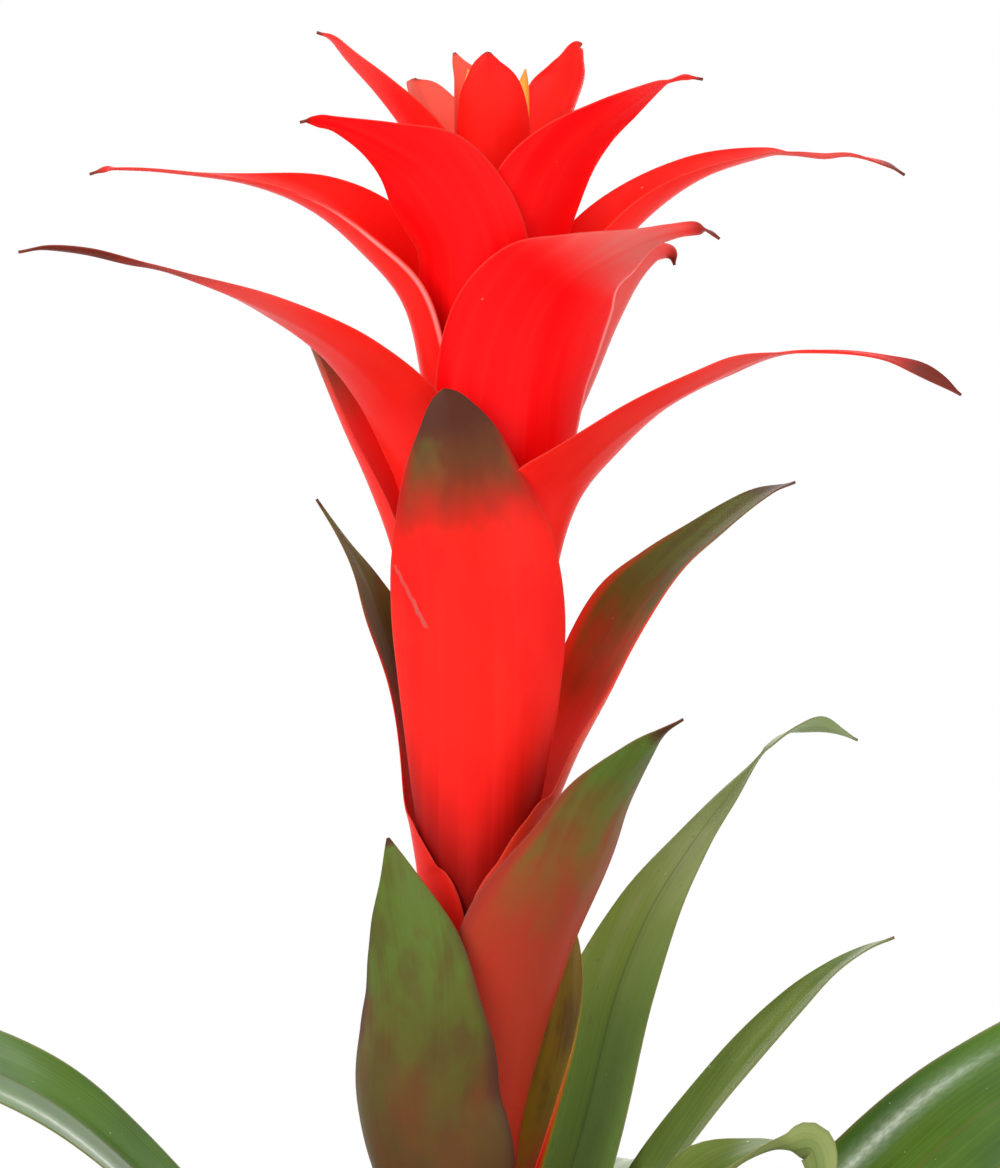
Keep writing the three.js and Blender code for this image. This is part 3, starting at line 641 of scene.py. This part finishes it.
# From the lowest bract on the stem to the highest: turn, slot, colouring and stations.
BRACTS = [
    # short, green and broad, at the front left
    (-28, "green_bract", dict(dark=2, olive=58, fade=60, green=0.92, base=OLIVE_BROWN, rims=0.8),
        [(118, 8.6, 0, 9), (138, 13, -0.8, 17), (160, 18, -2.8, 22.8, 24.5), (176, 22, -4.6, 22.2, 25),
        (190, 24.8, -3, 20.2, 25.5), (202, 26.8, -2.2, 16.6, 26), (213, 27.4, -3, 13.7, 26),
        (222, 27.5, -4.8, 9.8, 24), (231, 27, -7, 4.8, 18), (240, 26.2, -9.9, 0.3, 12)]),
    # short, at the right, with its olive inner face to the viewer
    (118, "blushed_bract", dict(dark=2, olive=60, fade=20, green=0.35, keep_red=0.84, tip=YELLOW_OLIVE),
        [(124, 8.6, 0, 9), (140, 12, 0, 14), (158, 16.8, 0, 16), (176, 21.8, 0, 15, 19),
        (190, 25, 0, 13.5, 23), (202, 26.4, 0, 11, 24), (212, 26.4, 0, 7, 18), (219, 26, 0, 0.3, 10)]),
    # thin and olive, at the left, opening outwards behind the big front bract
    (-118, "blushed_bract", dict(dark=3, olive=62, fade=36, green=0.9, keep_red=0.93, tip=DULL_OLIVE),
        [(130, 8.6, 0, 9), (160, 10, 0, 12), (190, 11.1, 2, 15.5, 11.3, 10),
        (217, 11.6, 4.9, 18.2, 12.6, 23), (229, 13.4, 2.8, 16, 14.2, 12), (238, 15, 1.2, 14.4, 17.5, 5),
        (246, 16.2, 0, 12.4, 22), (260, 18, 0, 11.6, 28), (276, 21.6, 0, 11.4, 30),
        (291, 27.4, 0, 9.8, 30), (302, 32.4, 0, 5.6, 26), (311, 38.7, 0, 2.2, 18),
        (320.8, 46.3, 0, 0.3, 10)]),
    # green above and red below, at the front right
    (42, "blushed_bract", dict(dark=7, olive=42, fade=50, green=1.0, keep_red=0.9, base=BROWN_RED,
                               tip=OLIVE_BROWN, gleam=(1, 60, 110), rims=0.4),
        [(137, 8.4, 0, 8), (158, 10.6, 0, 12), (174, 12.6, 0, 15), (188, 15.2, 0.4, 17.4, 17),
        (201, 18.6, 0.6, 20, 22), (217, 23.8, 1.2, 21.2, 26), (234, 31, 4.4, 17.2, 26),
        (245, 36, 5.8, 13.6, 26), (253, 40.5, 7.8, 10.3, 24), (260.6, 46.4, 10, 5.4, 18),
        (265.2, 50.4, 12.4, 1.8, 12), (268.4, 55, 15, 0.25, 10)]),
    # brown green, at the right, with its inner face to the viewer
    (115, "blushed_bract", dict(dark=11, olive=59, fade=40, green=0.75, keep_red=0.9, base=WARM_RED,
                                tip=DULL_OLIVE),
        [(144, 8, 0, 8), (170, 9.1, 0, 10), (196, 10.3, -2, 13.6, 10.8, -12),
        (217, 10.6, -6.2, 19.8, 12.2, -31), (229, 12.6, -4.6, 18.3, 13.8, -20),
        (238, 15.4, -2.2, 17.6, 16.2, -9), (246, 18.2, 0, 17, 20), (259, 23.6, 0, 17.2, 25),
        (271.6, 29.6, 0, 16.6, 27, 3), (284.4, 35.6, 0, 15.6, 26, 6), (296, 43.2, 0.4, 14.4, 24, 9),
        (304.6, 51.4, 0.6, 12, 22, 8), (311.4, 59.6, 0, 9.6, 19, 8), (317.8, 68, 0, 6.8, 16, 8),
        (322.6, 76, 0, 4, 12, 8), (325.2, 84, 0, 0.25, 8)]),
    # at the back
    (160, "red_bract", dict(),
        [(172, 7.7, 0, 3.6), (196, 8.5, 0, 4), (218, 10, 0, 4.8), (236, 11.7, 0, 5.2),
        (252, 14, 0, 6), (264, 17.4, 0, 8.4, 20), (277, 25, 0, 11, 20), (287, 36, 2, 9, 18),
        (293, 48, 5, 5.6, 14), (295, 60, 9, 0.6, 8)]),
    # at the back left, upright
    (-144, "red_bract", dict(),
        [(164, 7.8, 0, 3.8), (190, 9, 0, 4.4), (214, 10.5, 0, 5), (236, 12.1, 0, 5.4),
        (258, 14.8, 0, 6.8, 16), (276, 18.8, 0, 9, 18), (291, 24.6, 0, 9, 18), (302, 29.6, 0, 5.6, 14),
        (309, 34, 0, 0.6, 8)]),
    # the big one at the front, with a dark mottled tip and a scar
    (-2, "red_bract", dict(dark=10, olive=14, fade=17, green=0.6, keep_red=0.92, tip=TIP_BROWN,
                           dusky=True, scar=(-20.4, 41, -12.5, 57), sheath=(90, 48)),
        [(165, 7.7, 0, 8), (196, 8.6, 0, 11), (217, 9.6, 0, 12.6, 10.6), (230, 11.2, 0, 14.4, 13),
        (241, 13.6, 0, 17, 16.4), (257, 17.2, 0.2, 20, 20), (272, 20.4, 0.3, 22.4, 23),
        (289, 23.6, -0.2, 24.1, 25), (306, 26.4, -1.8, 22, 26), (321, 27.8, -4.2, 16.6, 26),
        (334, 28, -6.1, 10.9, 22), (341.4, 27.8, -7.8, 6, 16), (344.6, 27.6, -8.6, 3.2, 12),
        (346.2, 27.4, -9, 0.5, 8)]),
    # at the left, with its inner face to the viewer
    (-108, "blushed_bract", dict(dark=4, olive=15, fade=22, green=0.1),
        [(182, 7.4, 0, 6.5), (210, 8.6, 0, 8.5), (238, 10.4, 0, 11), (264, 13.2, 0, 13.5, 15),
        (290, 17.4, 0, 15, 17), (308, 21.8, 0, 15.5, 19), (323, 27.8, 0, 14.5, 19),
        (337, 34.6, 0, 12.5, 18), (350, 40.8, 0, 9, 14), (359, 45, 0, 5, 9), (365, 47.9, 0, 0.3, 5)]),
    # long, flaring to the right with a drooping dark tip
    (50, "red_bract", dict(dark=15, fade=14, painted_sheen=(26, 66, 0.4)),
        [(190, 7.1, 0, 7.5), (220, 8.4, 0, 10.3), (250, 10.8, 0, 13.4), (280, 14.2, 0, 16, 17),
        (303, 17.2, 0, 16.4, 20), (319, 20.8, 0.6, 15.6, 26), (329.4, 30.2, 2, 14.4, 36, 3),
        (340, 47.2, 2, 11.2, 36, 4), (348.2, 65, 4, 7, 28, 3), (352.4, 74.6, 6.8, 4.6, 20),
        (354.2, 84, 10, 1.3, 14), (354.1, 94, 15, 1, 12), (352.7, 103, 19.6, 1.3, 12, 12),
        (350.2, 109.8, 23.6, 2.5, 12, 24), (347.3, 114.8, 26.5, 1.9, 10, 24),
        (343.9, 119.2, 28.9, 0.25, 6, 10)]),
    # at the back, flaring away
    (176, "red_bract", dict(),
        [(198, 7.1, 0, 6), (226, 8.1, 0, 7.5), (254, 10, 0, 9), (282, 13.6, 0, 10.6, 16),
        (306, 19.4, 0, 9.8, 19), (325, 29.6, 0, 11.6, 22), (338, 44.4, 0, 11.5, 24), (345, 62, 0, 9, 20),
        (344, 82, 0, 5.5, 14), (336, 99, 0, 0.6, 6)]),
    # the longest, flaring to the left with a drooping dark tip
    (-48, "red_bract", dict(dark=36, fade=22, painted_sheen=(36, 66, 0.5)),
        [(206, 6.9, 0, 7.5), (236, 8.2, 0, 10.3), (266, 10.6, 0, 13), (298, 14.6, 0, 15.5, 17),
        (325, 19.4, 0, 15.4, 19, 8), (341.7, 27, -2, 11.4, 24, 18), (354.7, 43.6, -2.2, 10.4, 28, 6),
        (364.4, 61.4, -8, 6.8, 24), (372.6, 81, -18, 2.3, 14, 4), (375.4, 91, -23.9, 1.6, 14, 16),
        (377.6, 99.6, -29, 1.4, 12, 18), (378.4, 107.3, -35.1, 1.1, 10, 18),
        (377.4, 112.3, -39, 0.25, 6, 10)]),
    # at the back left, upright
    (-156, "red_bract", dict(),
        [(226, 6.8, 0, 3.8), (250, 7.9, 0, 4.4), (274, 9.8, 0, 5.4), (298, 12.8, 0, 7.4),
        (322, 17, -2.5, 9, 17), (342, 22.6, -6, 9, 17), (356, 28.6, -8, 8, 14), (366, 35, -10, 0.6, 6)]),
    # broad, at the front right, folding over to the right
    (20, "red_bract", dict(dark=4, fade=6, base=CRIMSON, painted_sheen=(10, 32, 1.4), gleam=(1, 24, 90)),
        [(232, 6.8, 0, 7.5), (258, 8.2, 0, 11), (284, 11, 0, 15), (310, 14.4, 1, 18, 17),
        (330, 17.6, 2, 20.2, 20), (348, 20, 2.4, 21.9, 25), (360.6, 23, 4.8, 21.8, 32),
        (370.4, 28.6, 9.2, 18.6, 38), (376.2, 36, 15.6, 12, 36, -2), (380.6, 43.5, 22, 5, 24, -8),
        (382.6, 49, 27.2, 2.8, 16, -20), (383.2, 53, 31.6, 2.4, 10, -34),
        (382.9, 54.8, 33.9, 1.6, 8, -30), (380.8, 56.9, 36.4, 0.25, 6, -15)]),
    # at the back right, flaring away
    (154, "red_bract", dict(),
        [(236, 6.8, 0, 2), (252, 8.2, 0, 2.4), (268, 9.3, 0, 2.8), (290, 11.4, 0, 3.2),
        (316, 15, 0, 3.6), (340, 19.6, 0, 6.4, 17), (358, 26.8, 0, 9, 18), (371, 36, 0, 8.4, 16),
        (378, 47, 0, 5, 10), (379, 57, 0, 0.6, 5)]),
    # narrow, at the right behind the broad one, with a hooked tip
    (104, "red_bract", dict(dark=2.5, fade=2, painted_sheen=(0, 60, 0.9), gleam=(-1, 8, 60)),
        [(248, 6.7, 0, 5), (266, 7.7, 0, 6), (284, 9, 0, 7.2), (302, 10.4, 0, 8),
        (320, 14.6, 0, 10, 13, -6), (338, 21.4, 0, 12.6, 12, -12), (351, 26.8, 0, 13, 11.6, -12),
        (362, 31.2, 0, 12, 11, -8), (372.6, 36.4, 0, 8.6, 10, -12), (378.4, 40.8, 0, 5.4, 8, -22),
        (380, 43.7, 0, 3.4, 7, -30), (379.4, 45.4, 0, 1.8, 6, -26), (377.3, 46.1, 0, 0.25, 5)]),
    # long and channelled, flaring to the left
    (-85, "red_bract", dict(dark=3, fade=3, painted_sheen=(4, 36, 0.4), gleam=(1, 60, 116)),
        [(250, 6.8, 0, 7), (278, 8.4, 0, 10), (306, 10.6, 0, 13), (332, 13.4, 0, 15.5, 16, -4),
        (352, 15.8, 0, 17.4, 16, -11), (368.5, 20.4, 0, 18, 15.5, -19),
        (380.9, 30.4, 0, 16.4, 14.5, -27), (390.3, 42.6, -1, 12, 12.5, -22), (396.4, 58, -3, 5, 7, -14),
        (399.2, 77, -7, 1.9, 8, -8), (400, 88.5, -9.8, 1.1, 8), (399.8, 92.5, -11, 1.3, 8, -30),
        (398.8, 96, -12, 0.25, 5)]),
    # long and channelled, flaring to the right
    (95, "red_bract", dict(dark=6, fade=6, painted_sheen=(8, 40, 0.7)),
        [(259, 6.3, 0, 6.4), (284, 7.8, 0, 8.4), (314, 10.4, 0, 12), (341, 14.4, 0, 15.5, 16),
        (361, 19.2, 0, 17.2, 17, 6), (377.2, 27.4, 0, 17.2, 15.6, 13), (389.6, 38.2, 0, 14.6, 14, 14),
        (398.6, 51, 1, 9.8, 12, 14), (403.6, 66, 2, 4.2, 8, 10), (404, 72.6, 2.4, 2, 8),
        (403.4, 80.4, 2.9, 1.2, 9, -20), (403.8, 87.7, 3.2, 1.5, 9), (401.6, 96.4, 3.7, 1.5, 8, 25),
        (399.2, 100.7, 4, 0.25, 5)]),
    # at the back, flaring away
    (-168, "red_bract", dict(),
        [(268, 6.3, 0, 3.8), (294, 7.3, 0, 4.4), (320, 9.2, 0, 5.6), (344, 12.6, 0, 8, 14),
        (364, 18.4, 0, 9.2, 17), (379, 28, 0, 10.4, 20), (389, 41, 0, 9.5, 18), (394, 56, 0, 6.5, 12),
        (392, 71, 0, 0.6, 5)]),
    # at the front left, folding over to the left
    (-20, "red_bract", dict(dark=2, base=CRIMSON),
        [(277, 6.2, 0, 7.2), (302, 7.9, 0, 10.5), (328, 10.5, 0, 13.5), (350, 13.4, 0, 16),
        (367, 16.2, 0.2, 16.6, 18), (380, 19.2, 0.4, 15.8, 20), (389.7, 22.8, -2.8, 14.6, 24, 5),
        (398, 27.2, -8, 12, 28, 12), (404, 33.2, -15.6, 6.6, 28, 12), (407.9, 38.6, -23.4, 2.8, 20, 20),
        (409, 41.6, -27.6, 2.1, 14, 30), (409.2, 43.6, -30, 1.3, 8, 30),
        (408.7, 44.8, -31.8, 0.25, 6, 20)]),
    # at the front right, pointing up to the right
    (35, "red_bract", dict(dark=1.5, base=CRIMSON, painted_sheen=(0, 12, 0.5)),
        [(287, 6, 0, 7), (310, 7.1, 0, 9.5), (334, 9.2, 0, 12), (356, 12, 0, 14, 14),
        (373, 15, 0.4, 15, 17), (386, 18, 1.6, 15.6, 20), (396.8, 22.2, 3.4, 14, 24),
        (404.8, 29, 5.8, 10.9, 26), (411.4, 38, 9.6, 7, 22), (417.2, 46.2, 14.4, 2.5, 14),
        (418.6, 49.2, 16.8, 1, 10), (419.2, 53, 18.6, 1.2, 8, -25), (418.6, 56, 20.8, 0.25, 5)]),
    # at the left, pointing up to the left
    (-75, "red_bract", dict(dark=1.2, painted_sheen=(0, 16, 0.5)),
        [(304, 6, 0, 6.5), (328, 7.4, 0, 9), (352, 9.4, 0, 11.5), (374, 11.6, 0, 13.8, 13),
        (388, 13.4, 0, 15, 14), (399.4, 16.6, 0, 14.4, 15), (409, 21.6, 0, 12.4, 14.5),
        (417.6, 28.4, 0, 9, 13), (425.5, 36, 0, 5.1, 10), (430.2, 40.2, 0, 2.5, 8),
        (431.6, 43.8, 0, 0.25, 4)]),
    # at the back right, with its inner face to the viewer
    (125, "red_bract", dict(),
        [(314, 5.9, 0, 4.6), (336, 7, 0, 5.4), (360, 8.8, 0, 7), (382, 11.8, 0, 10.2, 12),
        (399, 15.2, 0, 11.4, 14), (412, 19.6, 0.2, 12.4, 15), (421.4, 23.4, 0.4, 11.6, 14),
        (427.1, 24.4, 0.5, 6.4, 9), (430.1, 24.9, 0.6, 3, 6), (431.3, 25.5, -0.3, 0.3, 5)]),
    # small, at the back left, with its inner face to the viewer
    (-140, "red_bract", dict(inner=SALMON),
        [(324, 5.7, 0, 4.4), (346, 7, 0, 5.2), (368, 9.4, 0, 7), (388, 12.4, -0.3, 9.6, 13),
        (402, 17, -0.8, 10, 15), (412, 22.4, -1.2, 9.6, 15), (418.4, 27.4, -1.2, 7, 11),
        (421.6, 30, -1.2, 4.8, 8), (423, 31, -1.1, 1.9, 5), (423.5, 31.3, -1.1, 0.4, 5)]),
    # at the back, flaring away
    (178, "red_bract", dict(),
        [(333, 5.4, 0, 3.6), (354, 6.5, 0, 4.4), (374, 8.2, 0, 5), (390, 10.4, 0, 4.6, 12),
        (401, 14, 0, 3, 13), (409, 21.4, 0, 4.2, 12), (414, 33, 0, 4.2, 8), (413, 44, 0, 0.6, 4)]),
    # narrow and upright, at the back left of the heart
    (-165, "red_bract", dict(inner=SALMON),
        [(348, 5, 0, 4.4), (364, 5.6, 0, 6), (382, 7.2, 0, 7.2, 9), (400, 9.2, 0, 7.8, 10),
        (412, 10.6, 1.4, 6.2, 10.5), (421, 12, 3.1, 4, 8.5), (426, 13, 5.4, 1.6, 6),
        (428.7, 13.6, 6.4, 0.25, 5)]),
    # small and upright, at the front of the heart
    (0, "red_bract", dict(),
        [(351, 5.4, 0, 5.5), (369, 6.2, 0, 7.5), (386, 7.6, 0.2, 9.2, 9.5), (400, 9.4, 0.3, 9.8, 10.6),
        (410, 11, 0.1, 9.7, 11), (418, 12.2, -0.6, 7.8, 11), (423, 12.8, -1.4, 4.4, 9),
        (425.4, 12.9, -1.45, 2.1, 6), (426.8, 12.9, -1.3, 0.4, 5)]),
]
for number, (turn, slot, colouring, stations) in enumerate(BRACTS, 1):
    node = f"bract_{number:02d}"
    skin = bract_skin(node + "_skin", **colouring)
    points, faces, marks = strap(turn, stations, BRACT_COLUMNS, BRACT_ROW, bract_lift, number)
    finish_piece(node + "_blade", points, faces, skin, node, marks)

# Three unopened flowers stand on the stem's tip in the heart of the bracts: slender, waxy and
# yellow orange, each closed by three petals that wind round each other to its point.
BUD_TURNS = (110, -130, -10)
BUD_LENGTH = 51
BUD_RADIUS = 2.9
BUD_FOOT = 373.4
BUD_SPREAD = 2.4
BUD_TILT = 6.4
BUD_SIDES = 36
BUD_RINGS = 40
BUD_OUTLINE = [(0, 0.3), (0.08, 0.45), (0.25, 0.85), (0.5, 1), (0.75, 0.85), (0.92, 0.45), (1, 0.06)]
PETALS = 3
SEAM_WINDING = 1.6  # radians from the foot to the point
SEAM_DEPTH = 0.1
SEAM_SHARPNESS = 12
BUD_YELLOW = colour(246, 176, 44)
BUD_PALE = colour(252, 208, 96)
BUD_ORANGE = colour(238, 66, 28)
BUD_POINT = colour(224, 158, 66)
ORANGE_BELOW = (0.418, 0.402)  # metres up the plant, as its coordinates are
POINT_ABOVE = (0.4195, 0.423)


def bud_skin():
    skin, shader, tone = start_skin("bud_skin", {
        "Specular IOR Level": 0.3, "Subsurface Weight": 0.2, "Subsurface Scale": 0.001})
    place = tone.node("TexCoord", {}, {}, "Object")
    height = place.parts()[2]
    streaks = place.noise((1400, 1400, 60), 2)
    body = tone.over(BUD_YELLOW, BUD_PALE, streaks.rise(0.4, 0.65))
    body = tone.over(body, BUD_ORANGE, height.rise(*ORANGE_BELOW))
    body = tone.over(body, BUD_POINT, height.rise(*POINT_ABOVE))
    feed(tone, shader, {"Base Color": body, "Roughness": 0.45 + 0.15 * streaks}, streaks, 0.0001)
    return skin


def bud_points(turn):
    """A bud that stands beside the stem's axis and tilts away from it, facing turn degrees."""
    profile = smooth_path(BUD_OUTLINE, BUD_RINGS)
    outline = [(along * BUD_LENGTH, swell * BUD_RADIUS) for along, swell in profile]

    def seams(height, around):
        wound = around + SEAM_WINDING * (height / BUD_LENGTH) ** 2
        return 1 - SEAM_DEPTH * abs(math.cos(PETALS / 2 * wound)) ** SEAM_SHARPNESS

    points, faces = turned(outline, BUD_SIDES, seams)
    tilt, facing = math.radians(BUD_TILT), math.radians(turn)
    placed = []
    for x, y, z in points:
        y, z = y * math.cos(tilt) - z * math.sin(tilt), y * math.sin(tilt) + z * math.cos(tilt)
        y -= BUD_SPREAD
        x, y = x * math.cos(facing) - y * math.sin(facing), x * math.sin(facing) + y * math.cos(facing)
        placed.append((x, y, z + BUD_FOOT))
    return placed, faces


yellow_bud = bud_skin()
for number, turn in enumerate(BUD_TURNS, 1):
    node = f"bud_{number:02d}"
    points, faces = bud_points(turn)
    finish_piece(node + "_petals", points, faces, yellow_bud, node)

# The plant stands on a plain pale round floor, small enough to stay below the camera's picture, in
# a white room. A large soft lamp lights it from the upper left and fainter ones from the right, from
# low at the left, from above and, as the white wall would, from behind. Sizes are in metres.
FLOOR_RADIUS = 1.6
FLOOR_SIDES = 96
FLOOR_DROP = 0.0004
FLOOR_COLOUR = (0.86, 0.86, 0.855, 1)
WALL_BRIGHTNESS = 1.0
ROOM_LIGHT = 0.55
WHITE = (1, 1, 1, 1)
LAMPS = [
    # name, place, size across, watts
    ("key_lamp", (-1.0, -1.3, 1.1), 1.2, 19),
    ("fill_lamp", (1.3, -1.3, 0.3), 1.4, 13),
    ("low_lamp", (-1.2, -1.0, 0.12), 1.0, 3),
    ("top_lamp", (0.2, 0.3, 1.6), 0.8, 5),
    ("wall_glow", (0.0, 1.5, 0.8), 2.0, 16),
]
LAMP_AIM = (0, 0, 0.28)

turns = np.linspace(0, math.tau, FLOOR_SIDES, endpoint=False)
edge = [(FLOOR_RADIUS * math.cos(a), FLOOR_RADIUS * math.sin(a), -FLOOR_DROP) for a in turns]
floor_mesh = bpy.data.meshes.new("floor")
floor_mesh.from_pydata(edge, [], [tuple(range(FLOOR_SIDES))])
floor_skin = start_skin("floor", {"Base Color": FLOOR_COLOUR, "Roughness": 0.7})[0]
floor_mesh.materials.append(floor_skin)
floor = bpy.data.objects.new("floor", floor_mesh)
bpy.context.scene.collection.objects.link(floor)

for name, place, across, watts in LAMPS:
    lamp = bpy.data.lights.new(name, "AREA")
    lamp.shape = "DISK"
    lamp.size = across
    lamp.energy = watts
    holder = bpy.data.objects.new(name, lamp)
    holder.location = place
    aim = Vector([to - at for to, at in zip(LAMP_AIM, place)])
    holder.rotation_euler = aim.to_track_quat("-Z", "Y").to_euler()
    holder.visible_camera = False
    bpy.context.scene.collection.objects.link(holder)

world = bpy.data.worlds.new("white_room")
world.use_nodes = True
bpy.context.scene.world = world
background = world.node_tree.nodes["Background"]
background.inputs["Color"].default_value = WHITE
room = Tone(world.node_tree)
seen = room.node("LightPath", {}, {}, "Is Camera Ray")
light = ROOM_LIGHT + (WALL_BRIGHTNESS - ROOM_LIGHT) * seen
world.node_tree.links.new(light.socket, background.inputs["Strength"])
bpy.context.scene.view_settings.view_transform = "Standard"
